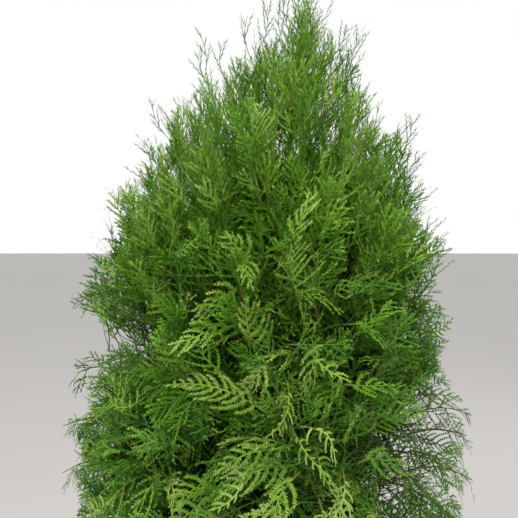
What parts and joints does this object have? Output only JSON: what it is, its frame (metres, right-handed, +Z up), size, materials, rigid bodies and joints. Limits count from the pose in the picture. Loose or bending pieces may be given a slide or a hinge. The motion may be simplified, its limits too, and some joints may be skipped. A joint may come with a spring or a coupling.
{
  "type": "potted thuja",
  "caption": "Young conical thuja with soft flat green sprays on ascending boughs, growing in a plain round dark plastic pot of soil.",
  "frame": {"origin": "centre of the pot's flat underside, on the surface that it stands on", "axes": "+Z up along the trunk, +Y away from the picture's viewer, +X to the viewer's right"},
  "size_m": [0.63, 0.6176, 1.5921],
  "materials": {
    "pot": "satin",
    "soil": "matte",
    "bark": "matte",
    "foliage": "matte"
  },
  "bodies": {
    "root": {"pot": "pot", "soil": "soil", "trunk": "bark", "bough_lower_1": "bark", "bough_lower_2": "bark", "bough_lower_3": "bark", "bough_lower_4": "bark", "bough_lower_5": "bark", "bough_lower_6": "bark", "bough_lower_7": "bark", "bough_middle_1": "bark", "bough_middle_2": "bark", "bough_middle_3": "bark", "bough_middle_4": "bark", "bough_middle_5": "bark", "bough_middle_6": "bark", "bough_middle_7": "bark", "bough_upper_1": "bark", "bough_upper_2": "bark", "bough_upper_3": "bark", "bough_upper_4": "bark", "bough_upper_5": "bark", "bough_upper_6": "bark", "bough_upper_7": "bark", "foliage_lower_1": "foliage", "foliage_lower_2": "foliage", "foliage_lower_3": "foliage", "foliage_lower_4": "foliage", "foliage_lower_5": "foliage", "foliage_lower_6": "foliage", "foliage_lower_7": "foliage", "foliage_middle_1": "foliage", "foliage_middle_2": "foliage", "foliage_middle_3": "foliage", "foliage_middle_4": "foliage", "foliage_middle_5": "foliage", "foliage_middle_6": "foliage", "foliage_middle_7": "foliage", "foliage_upper_1": "foliage", "foliage_upper_2": "foliage", "foliage_upper_3": "foliage", "foliage_upper_4": "foliage", "foliage_upper_5": "foliage", "foliage_upper_6": "foliage", "foliage_upper_7": "foliage", "foliage_top_1": "foliage", "foliage_top_2": "foliage", "foliage_top_3": "foliage"}
  },
  "joints": []
}
